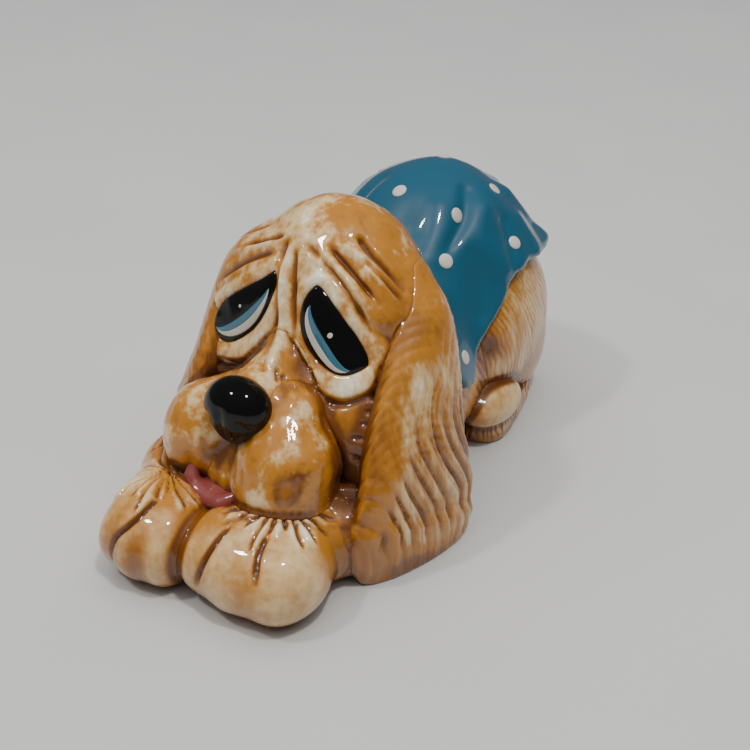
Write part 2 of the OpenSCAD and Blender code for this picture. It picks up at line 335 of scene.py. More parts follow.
# %% [markdown]
# ## One skin of clay, many pieces
#
# All members are blended, one after another, into a single skin, so that the fillets between
# them are right. Each piece then owns the part of the skin that is nearest to its own members.
# A thin tongue of each piece runs on just below its neighbour, so no gap can show.

# %% Members, in the order in which they blend
MEMBERS = {
    "torso": (torso, 0.1),
    "left_thigh": (thigh, 3.0),
    "right_thigh": (lambda p: thigh(flipped(p)), 3.0),
    "tail": (tail, 1.2),
    "left_hind_sole": (hind_sole, 1.0),
    "right_hind_sole": (lambda p: hind_sole(flipped(p)), 1.0),
    "left_hind_paw": (hind_paw, 0.8),
    "right_hind_paw": (lambda p: hind_paw(flipped(p)), 0.8),
    "skull": (skull, 3.0),
    "left_ear": (left_ear, 3.0),
    "right_ear": (right_ear, 3.0),
    "bridge": (bridge, 4.0),
    "left_flew": (left_flew, 2.2),
    "right_flew": (right_flew, 2.2),
    "chin": (chin, 2.0),
    "left_foreleg": (left_foreleg, 2.5),
    "right_foreleg": (right_foreleg, 2.5),
    "left_paw": (left_paw, 1.5),
    "right_paw": (right_paw, 1.5),
}


def member_distances(p, names):
    return {name: MEMBERS[name][0](p) for name in names}


def clay_from(distances):
    out = None
    for name, d in distances.items():
        out = d if out is None else blend(out, d, MEMBERS[name][1])
    return out


GROUND_EASE = 0.6


def clay(p, names=None):
    """Distance to the whole clay skin, cut flat at the ground."""
    d = clay_from(member_distances(p, names or list(MEMBERS)))
    return both(d, -p[:, 2], GROUND_EASE)


def owned(p, mine, names):
    """Field of one piece: its share of the skin, with a tongue under its neighbours."""
    distances = member_distances(p, names)
    skin = both(clay_from(distances), -p[:, 2], GROUND_EASE)
    own = np.min([distances[n] for n in mine], axis=0)
    others = [distances[n] for n in names if n not in mine]
    if not others:
        return skin
    share = 0.5 * (own - np.min(others, axis=0))
    return np.minimum(np.maximum(skin, share), np.maximum(skin + 0.3, share - 0.4))


print("clay members:", len(MEMBERS))

# %% [markdown]
# ## From field to mesh
#
# The field is sampled on a grid, coarsely first and finely only near the surface, and OpenVDB
# turns the grid into quads. Two Newton steps then pull every vertex onto the true surface,
# which removes the stair steps that a grid leaves.

# %% Mesh maker
COARSE = 2.0


def near_members(points, reach):
    """Names of the members that come within reach of any of the points."""
    return [n for n, (field, _) in MEMBERS.items() if float(field(points).min()) < reach]


def field_mesh(field, low, high, voxel):
    """Vertices in millimetres and outward quads of the zero surface of a field."""
    low = np.array(low, float)
    ratio = max(1, int(round(COARSE / voxel)))
    cells = np.ceil((np.array(high) - low) / (voxel * ratio)).astype(int)
    step_size = voxel * ratio
    axes = [low[i] + step_size * (np.arange(cells[i]) + 0.5) for i in range(3)]
    centres = np.stack(np.meshgrid(*axes, indexing="ij"), -1).reshape(-1, 3).astype(np.float32)
    coarse = field(centres).reshape(cells)
    active = np.abs(coarse) < step_size * 1.5
    fine = np.kron(coarse, np.ones((ratio,) * 3)).astype(np.float32)
    mask = np.kron(active, np.ones((ratio,) * 3)).astype(bool)
    index = np.argwhere(mask)
    points = (low + voxel * (index + 0.5)).astype(np.float32)
    fine[mask] = field(points)
    grid = openvdb.FloatGrid(background=4.0)
    grid.copyFromArray(np.ascontiguousarray(np.clip(fine, -4, 4)))
    verts, quads = grid.convertToQuads(isovalue=0)
    return (verts * voxel + low + 0.5 * voxel).astype(np.float32), quads[:, ::-1]


def slope(field, p, reach=0.15):
    """Outward direction of a field."""
    g = np.empty_like(p)
    for i in range(3):
        shift = np.zeros(3, np.float32)
        shift[i] = reach
        g[:, i] = field(p + shift) - field(p - shift)
    return g / np.maximum(np.linalg.norm(g, axis=1, keepdims=True), 1e-6)


def settle(field, p, limit, rounds=2):
    """Moves points onto the zero surface of a field, each by no more than limit."""
    for _ in range(rounds):
        d = np.clip(field(p), -limit, limit)
        p = p - slope(field, p) * d[:, None]
    return p


def mesh_object(name, verts, faces, marks=None):
    """Object from vertices in millimetres, with a float attribute for each mark."""
    mesh = bpy.data.meshes.new(name)
    mesh.from_pydata((np.asarray(verts, float) * MM).tolist(), [], np.asarray(faces).tolist())
    mesh.polygons.foreach_set("use_smooth", [True] * len(mesh.polygons))
    for key, values in (marks or {}).items():
        layer = mesh.attributes.new(key, "FLOAT", "POINT")
        layer.data.foreach_set("value", np.asarray(values, np.float32))
    mesh.validate()
    piece = bpy.data.objects.new(name, mesh)
    bpy.context.scene.collection.objects.link(piece)
    return piece


print("mesh maker ready, draft =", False)

# %% [markdown]
# ## Cutting the fur
#
# The modeller cut grooves into the soft clay with a wire tool. Here each vertex moves along the
# outward direction by a depth that comes from lines drawn on the surface. A line is a few given
# points with a smooth curve through them. The depth is also kept on the mesh as a
# number for each vertex, because the stain on the real dog gathers in the cuts.

# %% Lines and patterns that cut or raise the clay
def line_distance(p, points, steps=5):
    """Distance from each point to a smooth line, and how far along it (0 to 1) that is."""
    curve = points if isinstance(points, np.ndarray) else smooth_curve(points, steps)
    best = np.full(len(p), 1e9, np.float32)
    along = np.zeros(len(p), np.float32)
    for i in range(len(curve) - 1):
        a = curve[i]
        ab = curve[i + 1] - a
        t = np.clip(((p - a) @ ab) / (ab @ ab), 0, 1)
        d = np.sqrt(((p - a - t[:, None] * ab) ** 2).sum(-1))
        near = d < best
        along = np.where(near, (i + t) / (len(curve) - 1), along)
        best = np.minimum(best, d)
    return best, along


def cut(p, points, width, depth):
    """A groove (depth > 0) or a roll (depth < 0) along a line, tapering at its ends."""
    d, along = line_distance(p, points)
    taper = step(along, 0, 0.18) * (1 - 0.75 * step(along, 0.75, 1))
    return -depth * taper * np.exp(-(d / width) ** 2)


def hatch(p, way, spacing, depth, seed):
    """Fine, broken, nearly parallel cuts: way points across them."""
    way = np.array(way, np.float32) / np.linalg.norm(way)
    phase = p @ way + 0.9 * ripple(p, 14, seed) + 0.35 * ripple(p, 4, seed + 1)
    cutting = np.abs(np.sin(math.pi * phase / spacing)) ** 0.7 - 1
    strength = step(ripple(p * np.array([1, 1, 0.5], np.float32), 5, seed + 2), -0.9, 0.5)
    return depth * cutting * (0.35 + 0.65 * strength)


FACE_LINES = [
    # points in the head's frame, width, depth
    ([(-5, -18, 58), (-3.5, -23, 51), (-2, -30, 40)], 0.65, 0.9),
    ([(-2, -20, 57), (0.5, -24, 49), (3, -29, 39)], 0.65, 1.2),
    ([(-1, -19, 57.5), (6, -20.5, 54.5), (12, -21.5, 50), (16.5, -21, 42)], 0.65, 1.0),
    ([(4, -18, 57.5), (11, -19.5, 53.5), (16, -19, 48.5)], 0.6, 1.3),
    ([(8, -14, 59), (12, -15, 55.5), (18, -14, 49.5)], 0.65, 1.4),
    ([(11, -17, 55.5), (15, -16.5, 52), (19, -15, 47.5)], 0.6, 1.1),
    ([(-5.5, -18, 57.5), (-10, -19, 55.5), (-16, -19, 53)], 0.6, 1.0),
    ([(-6, -20.5, 55), (-13, -22, 51.5), (-19.5, -21, 45)], 0.65, 0.9),
    ([(-11, -14.5, 58), (-18, -14.5, 52), (-22.5, -15, 43)], 0.6, 0.8),
    ([(-3, -29, 40), (-9, -30, 34), (-17, -28, 32)], 0.6, 0.8),
    ([(20, -16, 46), (20.5, -21, 38), (19.5, -26, 29)], 0.8, 1.2),
]
FACE_ROLLS = [
    # points in the head's frame, width, height
    ([(-3.5, -20, 57), (-1.5, -25, 48), (0.5, -31, 39), (1.5, -36, 36.5)], 1.2, 0.9),
    ([(2.5, -20, 56.5), (9, -20.5, 53), (15, -20.5, 46.5)], 0.8, 0.7),
    ([(6, -17, 58), (12, -17, 54.5), (17.5, -17, 49)], 0.9, 0.8),
    ([(-7, -19.5, 56.5), (-12, -20, 54), (-17.5, -19.5, 50)], 0.9, 0.5),
]
CHEEK_TICKS = [[(18.5 - 0.7 * i, -23 - i, 37.5 - 2.6 * i), (21 - 0.7 * i, -21 - i, 36.5 - 2.6 * i)]
               for i in range(9)]
MUZZLE_TICKS = [[(x, -33.5, 37), (x + 0.8, -36, 35)] for x in (-4, -2, 0, 2, 4, 6)]


FACE_CLAY = ["skull", "left_ear", "right_ear", "bridge"]


def laid_on(points, names):
    """Smooth curve through points, moved onto the clay."""
    return settle(lambda p: clay(p, names), smooth_curve(points, 4), 3, 4)


def on_face(points):
    return laid_on(from_head(points), FACE_CLAY)


FACE_STROKES = ([(on_face(points), width, depth) for points, width, depth in FACE_LINES]
                + [(on_face(points), width, -height) for points, width, height in FACE_ROLLS]
                + [(on_face(points), 0.5, 0.7) for points in CHEEK_TICKS + MUZZLE_TICKS])


def face_detail(p):
    h = np.zeros(len(p), np.float32)
    for curve, width, depth in FACE_STROKES:
        h += cut(p, curve, width, depth)
    return h


print("cutting lines on the face:", len(FACE_LINES))

# %% [markdown]
# ## The eyes' outlines
#
# Both eyes are half closed and droop outward. Every edge of them, both lids and the borders of
# the white and blue paint, is one bow: a line between two corners that bellies out to one side.
# So an eye needs only its corners and the depth of each belly. The distance to the opening is
# what shapes the roll of clay round the eye, the dome of the eyeball and the edge of the paint.

# %% Eye curves
EYES = {
    # corners as x and z in the head's frame; bellies to the right of the way down are positive
    "left": {"corners": ((5, 51.5), (17, 38)), "lower_lid": 7.4, "upper_lid": -1.6, "lid_lean": 1.0,
             "paint_corners": ((5.4, 48.6), (15, 37.8)), "paint_lean": 1.0,
             "white": (4.4, 2.9), "blue": (2.9, 1.3),
             "glint": (10, 43.5), "glint_radius": 0.5},
    "right": {"corners": ((-5, 52.2), (-17.2, 36.4)), "lower_lid": -4.8, "upper_lid": 4.2, "lid_lean": 2.6,
              "paint_corners": ((-5, 49.4), (-18, 38.6)), "paint_lean": 1.35,
              "white": (-4.4, -2.9), "blue": (-2.9, -1.5),
              "glint": (-11.5, 44.3), "glint_radius": 0.3},
}


def bow(corners, belly, lean=1.0, count=24):
    """Half ellipse between two corners; a lean above 1 moves its belly toward the second."""
    start, end = np.array(corners, np.float32)
    t = (1 - np.cos(np.linspace(0, math.pi, count))) / 2
    way = (end - start) / np.linalg.norm(end - start)
    out = belly * np.sqrt(np.clip(1 - (2 * t ** lean - 1) ** 2, 0, 1))
    points = start + t[:, None] * (end - start) + out[:, None] * np.array([way[1], -way[0]])
    return points.astype(np.float32)


def between(first, second):
    """Closed outline that runs along one bow and back along another."""
    return np.concatenate([first, second[-2:0:-1]])


def outline_gap(flat, outline):
    """Distance from flat points to a closed outline, negative inside it."""
    best = np.full(len(flat), 1e9, np.float32)
    inside = np.zeros(len(flat), bool)
    x, z = flat[:, 0], flat[:, 1]
    for a, b in zip(outline, np.roll(outline, -1, axis=0)):
        ab = b - a
        size = float(ab @ ab)
        if size < 1e-9:
            continue
        t = np.clip(((flat - a) @ ab) / size, 0, 1)
        best = np.minimum(best, np.sqrt(((flat - a - t[:, None] * ab) ** 2).sum(-1)))
        crosses = (a[1] > z) != (b[1] > z)
        slant = a[0] + (z - a[1]) * ab[0] / (ab[1] if abs(ab[1]) > 1e-9 else 1e-9)
        inside ^= crosses & (x < slant)
    return np.where(inside, -best, best)


OPENINGS = {side: between(bow(eye["corners"], eye["lower_lid"]),
                          bow(eye["corners"], eye["upper_lid"], eye["lid_lean"]))
            for side, eye in EYES.items()}
FACE_FRONT_Y = -12


def eye_gap(p, side):
    """Distance in the flat of the face to an eye's opening; far away behind the face."""
    q = to_head(p)
    gap = np.full(len(p), 30.0, np.float32)
    near = (q[:, 1] < FACE_FRONT_Y) & (q[:, 2] > 26) & (q[:, 2] < 60)
    if near.any():
        gap[near] = outline_gap(q[near][:, [0, 2]], OPENINGS[side])
    return gap


MUZZLE_CLEAR = 12
RIM_WIDTH, RIM_HEIGHT, RIM_CUT_WIDTH = 1.2, 0.4, 0.7
SOCKET_DEPTH = 0.8


def muzzle_clear(p):
    """Large on the muzzle, where the eyes must leave no mark; 0 on the rest of the face."""
    near = np.minimum(bridge(p), left_flew(p))
    y = to_head(p)[:, 1]
    return MUZZLE_CLEAR * ((1 - step(near, -0.4, 1.6)) * (1 - step(y, -30, -27)) + 1 - step(y, -33.5, -31))


def eye_surround(p):
    """The roll of clay round each eye, the cut outside its lower half and the socket inside."""
    q = to_head(p)
    h = np.zeros(len(p), np.float32)
    for side in EYES:
        gap = eye_gap(p, side) + muzzle_clear(p)
        low = 1 - step(q[:, 2], 38, 46)
        roll = RIM_WIDTH + 0.9 * low
        h += (RIM_HEIGHT + 0.35 * low) * np.exp(-((gap - roll) / roll) ** 2)
        h -= (0.2 + 0.75 * low) * np.exp(-((gap - roll * 2.25) / RIM_CUT_WIDTH) ** 2)
        h -= SOCKET_DEPTH * (1 - step(gap, -0.6, 0.35))
    return h


print("eye outlines:", {side: len(curve) for side, curve in OPENINGS.items()})

# %% [markdown]
# ## Ear locks, paw tufts and hatching
#
# The ear's locks run down it and sweep backward near the ground. Because every point knows how
# far down and how far across the ear it is, the locks are just a rounded wave across the ear
# that is shifted further back the lower it gets. Tufts on the paws fan out from the wrist in
# the same way, as a wave round a centre.

# %% Patterns for ears, paws and body
LOCK_SPACING, STRAND_SPACING, LOCK_ROUND = 3.4, 1.3, 0.6
ALONG_FUR = np.array([1, 1, 0.25], np.float32)


def ear_detail(p, side):
    """Locks and strands that run down an ear and sweep back near the ground."""
    q = p if side > 0 else flipped(p)
    path = (LEFT_EAR if side > 0 else RIGHT_EAR)[::-1]
    down = (path[-1, 2] - q[:, 2]) / (path[-1, 2] - path[0, 2])
    across = np.interp(q[:, 2], path[:, 2], path[:, 1]).astype(np.float32) - q[:, 1]
    seed = 11 if side > 0 else 23
    sweep = 9.5 * step(down, 0.35, 1.1) ** 1.2 - 3.5 * np.sin(math.pi * np.clip(down / 0.9, 0, 1))
    place = across + sweep + 0.9 * ripple(q * ALONG_FUR, 9, seed)
    low = step(down, 0.35, 0.75) * (1 - 0.75 * step(down, 0.95, 1.1))
    lock = np.abs(np.sin(math.pi * place / LOCK_SPACING)) ** LOCK_ROUND
    strand_place = place + 0.3 * ripple(q * ALONG_FUR, 5, seed + 3)
    strand = np.abs(np.sin(math.pi * strand_place / STRAND_SPACING)) ** LOCK_ROUND
    strong = 0.4 + 0.6 * step(ripple(q * ALONG_FUR, 6, seed + 5), -0.8, 0.6)
    h = (0.25 + 1.25 * low) * (lock - 1) + (0.3 + 0.15 * step(down, 0.15, 0.5)) * strong * (strand - 1)
    edge = np.interp(down, [0, 0.25, 0.5, 0.75, 1], EAR_HALF_WIDTHS).astype(np.float32)
    h *= 1 - 0.75 * step(across, edge - 4.5, edge - 1)
    return h * step(down, 0.05, 0.25)


PAW_CUTS = [
    [(3, -54.5, 15.3), (1.5, -60, 11.5), (-0.3, -62.5, 7)],
    [(10, -54, 15.3), (11, -58.5, 14), (12.5, -61.5, 11.5)],
    [(-13.5, -55, 15.3), (-15, -59.5, 13), (-17.5, -63, 7)],
]
PAW_CUT_WIDTH, PAW_CUT_DEPTH = 0.5, 1.2


PAW_CURVES = [laid_on(points, ["left_paw", "right_paw"]) for points in PAW_CUTS]
PAW_FRINGES = [
    # centre of the fan, how far the tufts reach
    ((8, -46), 10.5), ((-16.5, -48), 10),
]


def paw_detail(p):
    """Long cuts between the toes and a fan of tufts where the fur ends on each paw."""
    h = np.zeros(len(p), np.float32)
    for curve in PAW_CURVES:
        h += cut(p, curve, PAW_CUT_WIDTH, PAW_CUT_DEPTH)
    for (x, y), reach in PAW_FRINGES:
        dx, dy = p[:, 0] - x, -(p[:, 1] - y)
        angle, radius = np.arctan2(dx, dy), np.hypot(dx, dy)
        end = reach - 1 + 1.8 * np.sin(angle * 7 + 1) + 1.2 * np.sin(angle * 17)
        fringe = (1 - step(radius, end - 0.8, end + 0.5)) * step(p[:, 2], 8, 11)
        tuft = np.abs(np.sin(angle * 10 + 0.5 * ripple(p, 6, 50))) ** 0.7
        h += fringe * (0.6 + 1.6 * (tuft - 1))
    return h


KNEE_CUT = [(22, 17, 24), (22.5, 23, 20.5), (23, 29, 17), (23, 35, 14)]


RUMP_MIDDLE, RUMP_RADIUS = 30, 24


def unrolled(p):
    """Places on the hind body as if its round were laid flat, so that fur runs down every side."""
    angle = np.arctan2(p[:, 1] - RUMP_MIDDLE, np.abs(p[:, 0]))
    return np.stack([angle * RUMP_RADIUS, np.zeros(len(p)), p[:, 2]], -1).astype(np.float32)


def thigh_detail(p):
    """Hatched fur and the hollow between the thigh and the foot."""
    q = p.copy()
    q[:, 0] = np.abs(q[:, 0])
    hollow = line_distance(q, KNEE_CUT)[0]
    return hatch(unrolled(p), (1, 0, 0.25), 1.2, 0.2, 61) - 0.5 * np.exp(-(hollow / 2.2) ** 2)


def sole_detail(p):
    return hatch(p, (0.7, 0.7, 0.05), 1.2, 0.45, 71)


def trunk_detail(p):
    return hatch(unrolled(p), (1, 0, 0.3), 1.4, 0.22, 81)


def foreleg_detail(p):
    return hatch(p, (0.6, -0.2, 1), 1.8, 0.25, 91)


def flew_detail(p):
    return 0.16 * ripple(p, 5, 95) + 0.08 * ripple(p, 2.2, 96)


def head_detail(p):
    return face_detail(p) + eye_surround(p) + 0.12 * ripple(p, 6, 97)


def no_detail(p):
    return np.zeros(len(p), np.float32)


# %% [markdown]
# ## Where the wash is dark and where it was wiped
#
# On the real dog an orange-brown wash was brushed over ivory clay and then wiped off the parts
# that stand out. That is one treatment for the whole dog, so it is one function of place: a
# middle level, more wash in some patches and less in others. Every clay piece asks the same
# function, so the tone runs on unbroken from piece to piece.

# %% Wash level over the dog
WASH_LEVEL = 0.20
WASH_PATCHES = [
    # centre, radius, change
    ((17, -13, 52), 6, 0.2), ((19, -19, 44), 5, 0.45), ((13, -27, 27), 7, 0.6),
    ((20, -33, 27), 5, 0.5), ((20, -38, 20), 5, 0.5), ((21, -43, 9), 7, 0.5), ((15, -22, 44), 4, 0.4),
    ((-18, -11, 54), 7, 0.15), ((-23, -20, 42), 6, 0.3), ((-22, -27, 31), 7, 0.5),
    ((12, -46, 23), 5, 0.5), ((4, -47, 29), 4, 0.3), ((29, -34, 2), 6, 0.5), ((10, -48, 21), 2.0, 1.4),
    ((24, -15, 42), 5, 0.35), ((-14, -47, 20), 5, 0.25), ((6, -31, 33), 4, 0.4),
    ((23, 6, 8), 8, 0.4), ((4, -15, 60), 5, 0.2), ((-18, -61, 11), 4, 0.1), ((10, -9, 60), 6, 0.05),
    ((-12, -52, 15), 4, 0.3), ((3, -52, 15), 4, 0.3), ((0, -56, 2), 9, 0.3), ((-3, -56, 8), 2.5, 0.8),
    ((-8, -12, 60), 8, -0.35), ((0, -18, 58), 5, -0.35), ((-3, -25, 48), 4, -0.45),
    ((31, -22, 22), 10, -0.6), ((32, -24, 12), 9, -0.6), ((28, -17, 34), 8, -0.5), ((23, -30, 28), 4, -0.2),
    ((29, -31, 12), 5, -0.4), ((5, -61, 9), 7, -0.7), ((-11, -62, 9), 6, -0.7),
    ((15, -58, 9), 6.5, -0.7), ((-19, -60, 9), 7, -0.7), ((-4, -62, 11), 3, -0.3),
    ((25, 18, 9), 8, -0.8), ((25, 34, 26), 14, -0.25), ((0, -37, 38), 4, -0.2),
    ((9, -45, 29), 3, -0.4), ((13, -49, 15), 4, -0.5), ((6, -51, 16), 4, -0.5), ((-11, -25, 36), 4, -0.3),
    ((-9, -45, 26), 4, -0.3), ((6, -19, 57), 4, -0.35), ((8, -23, 51), 4, -0.35), ((-13, -18, 54), 8, -0.45),
]


def wash(p):
    level = np.full(len(p), WASH_LEVEL, np.float32)
    for centre, radius, change in WASH_PATCHES:
        away = ((p - np.array(centre, np.float32)) ** 2).sum(-1)
        level += change * np.exp(-away / radius ** 2)
    for side in EYES:
        gap = eye_gap(p, side) + muzzle_clear(p)
        level -= 0.6 * (1 - step(gap, 2.2, 4.2))
    # More wash, so a darker tone, on the lowest 4.5 mm of every piece, next to the ground.
    level += 0.45 * (1 - step(p[:, 2], 0.8, 4.5))
    return np.clip(level, 0, 1)


print("wash patches:", len(WASH_PATCHES))

# %% [markdown]
# ## Sculpting the clay pieces
#
# Each piece takes the box of the imported nodes that it replaces, a little enlarged, as the
# space to search. After meshing, its vertices are moved by the detail for its part. Two marks
# are stored: how deep each vertex lies in a cut, and how hemmed in it is by nearby clay, which
# is found by stepping outward and asking the field how much room there is. The second, taken
# at a near and a wider reach, is what the shader uses to paint shade into the hollows.

# %% Sculpt one piece of clay
def frame_span(nodes, margin):
    boxes = np.array([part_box(node) for node in nodes]) / MM
    return boxes[:, 0].min(0) - margin, boxes[:, 1].max(0) + margin


def hemmed_in(p, out, names, reach):
    """0 in the open, towards 1 where other clay is closer than reach."""
    room = clay_from(member_distances(p + out * reach, names))
    return np.clip(1 - room / reach, 0, 1)


def sculpt(name, nodes, mine, detail, voxel, hollow=None, margin=2.5):
    """Meshes one piece of the clay and cuts its detail."""
    voxel = voxel * 1.0
    low, high = frame_span(nodes, margin)
    low[2] = max(low[2], -1.5)
    probe = np.stack(np.meshgrid(*[np.arange(low[i], high[i], 3.0) for i in range(3)], indexing="ij"), -1)
    probe = probe.reshape(-1, 3).astype(np.float32)
    own = np.min([MEMBERS[n][0](probe) for n in mine], axis=0)
    names = near_members(probe[np.abs(own) < 6], 7)

    def field(p):
        d = owned(p, mine, names)
        return d if hollow is None else np.maximum(d, -hollow(p))

    def skin(p):
        return both(clay_from(member_distances(p, names)), -p[:, 2], GROUND_EASE)

    verts, quads = field_mesh(field, low, high, voxel)
    verts = settle(field, verts, voxel)
    out = slope(skin, verts)
    inner = 1 - step(np.abs(skin(verts)), 0.1, 0.3)
    cutting = detail(verts) * inner * step(verts[:, 2], 0.1, 1.5)
    # How hemmed in each vertex is, near and wider: the shader paints shade into the hollows from these.
    hemmed = hemmed_in(verts, out, names, 2.2)
    wide = hemmed_in(verts, out, names, 5.0)
    verts = verts + out * cutting[:, None]
    verts[:, 2] = np.maximum(verts[:, 2], 0)
    marks = {"cut": cutting, "hemmed": hemmed, "wide": wide, "wash": wash(verts)}
    piece = mesh_object(name, verts, quads, marks)
    print(f"{name}: {len(verts)} vertices, {len(quads)} quads")
    return piece


def cavity(p):
    """The hollow of the casting, open at the slot in the base."""
    wall = 4
    d = np.minimum(egg(p, (0, 2, 22), (20 - wall, 22 - wall, 20 - wall)),
                   egg(p, (0, 32, 28.5), (23 - wall, 24 - wall, 27 - wall)))
    slot = np.hypot(p[:, 0], p[:, 1] - np.clip(p[:, 1], -2, 34)) - 14.15
    return np.minimum(d, np.maximum(slot, p[:, 2] - 12))


FINE, MEDIUM = 0.42, 0.55
CLAY_PIECES = [
    # name, nodes replaced, members, detail, grid step, material slot
    ("torso", ["torso_shell"], ["torso"], trunk_detail, 0.7, "amber_glaze"),
    ("head", ["head_shell", "left_eyelid", "right_eyelid"], ["skull"], head_detail, FINE, "cream_glaze"),
    ("muzzle_bridge", ["muzzle_bridge"], ["bridge"], head_detail, FINE, "cream_glaze"),
    ("left_flew", ["left_flew"], ["left_flew"], flew_detail, FINE, "amber_glaze"),
    ("right_flew", ["right_flew"], ["right_flew"], flew_detail, FINE, "amber_glaze"),
    ("chin", ["chin"], ["chin"], flew_detail, MEDIUM, "brown_glaze"),
    ("left_ear", ["left_ear"], ["left_ear"], lambda p: ear_detail(p, 1), FINE, "cream_glaze"),
    ("right_ear", ["right_ear"], ["right_ear"], lambda p: ear_detail(p, -1), FINE, "cream_glaze"),
    ("left_foreleg", ["left_foreleg"], ["left_foreleg"], foreleg_detail, MEDIUM, "amber_glaze"),
    ("right_foreleg", ["right_foreleg"], ["right_foreleg"], foreleg_detail, MEDIUM, "amber_glaze"),
    ("left_forepaw", ["left_forepaw"], ["left_paw"], paw_detail, FINE, "cream_glaze"),
    ("right_forepaw", ["right_forepaw"], ["right_paw"], paw_detail, FINE, "cream_glaze"),
    ("left_thigh", ["left_thigh"], ["left_thigh"], thigh_detail, FINE, "amber_glaze"),
    ("right_thigh", ["right_thigh"], ["right_thigh"], thigh_detail, FINE, "amber_glaze"),
    ("left_hind_paw", ["left_hind_paw"], ["left_hind_paw"], no_detail, FINE, "cream_glaze"),
    ("right_hind_paw", ["right_hind_paw"], ["right_hind_paw"], no_detail, FINE, "cream_glaze"),
    ("left_hind_sole", ["left_hind_sole"], ["left_hind_sole"], sole_detail, FINE, "brown_glaze"),
    ("right_hind_sole", ["right_hind_sole"], ["right_hind_sole"], sole_detail, FINE, "brown_glaze"),
    ("tail", ["tail"], ["tail"], thigh_detail, MEDIUM, "cream_glaze"),
]
pieces = {}
for name, nodes, mine, detail, voxel, slot in CLAY_PIECES:
    pieces[name] = sculpt(name + "_clay", nodes, mine, detail, voxel, cavity if name == "torso" else None)
    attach(pieces[name], "root")
    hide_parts(*nodes)
print("clay pieces:", len(pieces))

# %% [markdown]
# ## Eyes: a black dome with crescents of enamel
#
# Each eyeball is a low dome of black glaze that fills the opening. White and blue enamel is
# laid on it in crescents. A patch of enamel is the thin layer just above the dome, cut to the
# crescent's outline, so it follows the dome exactly.

# %% Build the eyes
EYE_EDGE, EYE_RISE, EYE_FALL = 0.15, 1.1, 2.6
ENAMEL_PROUD, ENAMEL_DEPTH = 0.07, 0.3
EYE_CLAY = ["skull", "bridge", "left_ear", "right_ear"]


def eye_dome(p, side):
    """Distance above an eyeball's dome."""
    gap = np.minimum(eye_gap(p, side), 1)
    return clay_from(member_distances(p, EYE_CLAY)) - EYE_EDGE - EYE_RISE * (1 - np.exp(gap / EYE_FALL))


def eyeball_field(p, side):
    dome = eye_dome(p, side)
    return np.maximum(both(dome, eye_gap(p, side) - 0.1, 0.7), -(dome + 2.2))


def enamel_field(p, side, outline, proud=ENAMEL_PROUD):
    q = to_head(p)
    gap = outline_gap(q[:, [0, 2]], outline)
    gap = np.where(q[:, 1] < FACE_FRONT_Y, gap, 30)
    dome = eye_dome(p, side)
    return np.maximum(both(dome - proud, gap, 0.1), -(dome + ENAMEL_DEPTH))


def ring(centre, radius, count=28):
    turns = np.linspace(0, 2 * math.pi, count, endpoint=False)
    return (np.array(centre) + radius * np.stack([np.cos(turns), np.sin(turns)], -1)).astype(np.float32)


def made(name, field, nodes, voxel, margin=1.5):
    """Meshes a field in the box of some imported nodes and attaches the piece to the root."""
    low, high = frame_span(nodes, margin)
    verts, quads = field_mesh(field, low, high, voxel * (1))
    verts = settle(field, verts, voxel)
    piece = mesh_object(name, verts, quads)
    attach(piece, "root")
    print(f"{name}: {len(verts)} vertices")
    return piece


for side, eye in EYES.items():
    ball = [side + "_eyeball"]
    white, blue = [between(*[bow(eye["paint_corners"], belly, eye["paint_lean"]) for belly in eye[paint]])
                   for paint in ("white", "blue")]
    pieces[side + "_eye_black"] = made(
        side + "_eye_black", lambda p: eyeball_field(p, side), ball, 0.2, 2.5)
    pieces[side + "_eye_white"] = made(
        side + "_eye_white", lambda p: enamel_field(p, side, white), ball, 0.12, 2.5)
    pieces[side + "_eye_blue"] = made(
        side + "_eye_blue", lambda p: enamel_field(p, side, blue), ball, 0.12, 2.5)
    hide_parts(side + "_pupil")
    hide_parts(side + "_eyeball")
    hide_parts(side + "_iris")
# The glints are painted highlights: a small white dot laid on each eye's dome like enamel.
glints = {side: ring(eye["glint"], eye["glint_radius"]) for side, eye in EYES.items()}
pieces["catchlights"] = made(
    "catchlight_dots", lambda p: np.minimum(enamel_field(p, "left", glints["left"], 0.15),
                                            enamel_field(p, "right", glints["right"], 0.15)),
    ["catchlights"], 0.12, 2.5)
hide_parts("catchlights")

# %% [markdown]
# ## Nose and tongue
#
# The nose is a glossy black button with a soft crease down its middle and a dimple on each
# side. The tongue curls over the lower lip.

# %% Build the nose and the tongue
NOSE_CREASE = [(0, -47.2, 35.5), (0, -47.8, 32.5), (0, -46.5, 29), (0, -44.5, 26.5)]
NOSTRILS = [[(3.6, -46.5, 32.3), (4.8, -45.0, 31.2)], [(-3.6, -46.5, 32.3), (-4.8, -45.0, 31.2)]]


def nose_field(p):
    q = to_head(p)
    d = nose(p) - cut(q, NOSE_CREASE, 0.9, 0.45)
    for nostril in NOSTRILS:
        d = d + 0.5 * np.exp(-(line_distance(q, nostril)[0] / 1.0) ** 2)
    return d


pieces["nose"] = made("nose_button", nose_field, ["nose"], 0.3)
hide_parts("nose")
pieces["tongue"] = made("tongue_curl", tongue, ["tongue"], 0.3, 8)
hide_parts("tongue")

# %% [markdown]
# ## The blanket
#
# The blanket is a thin sheet of blue over the back. Its field is the body made smoother and a
# little bigger, cut off below a hem line, with wide, soft folds. The hem's height is a curve
# along the dog: high behind the head, down to a point beside the ear and high again behind.

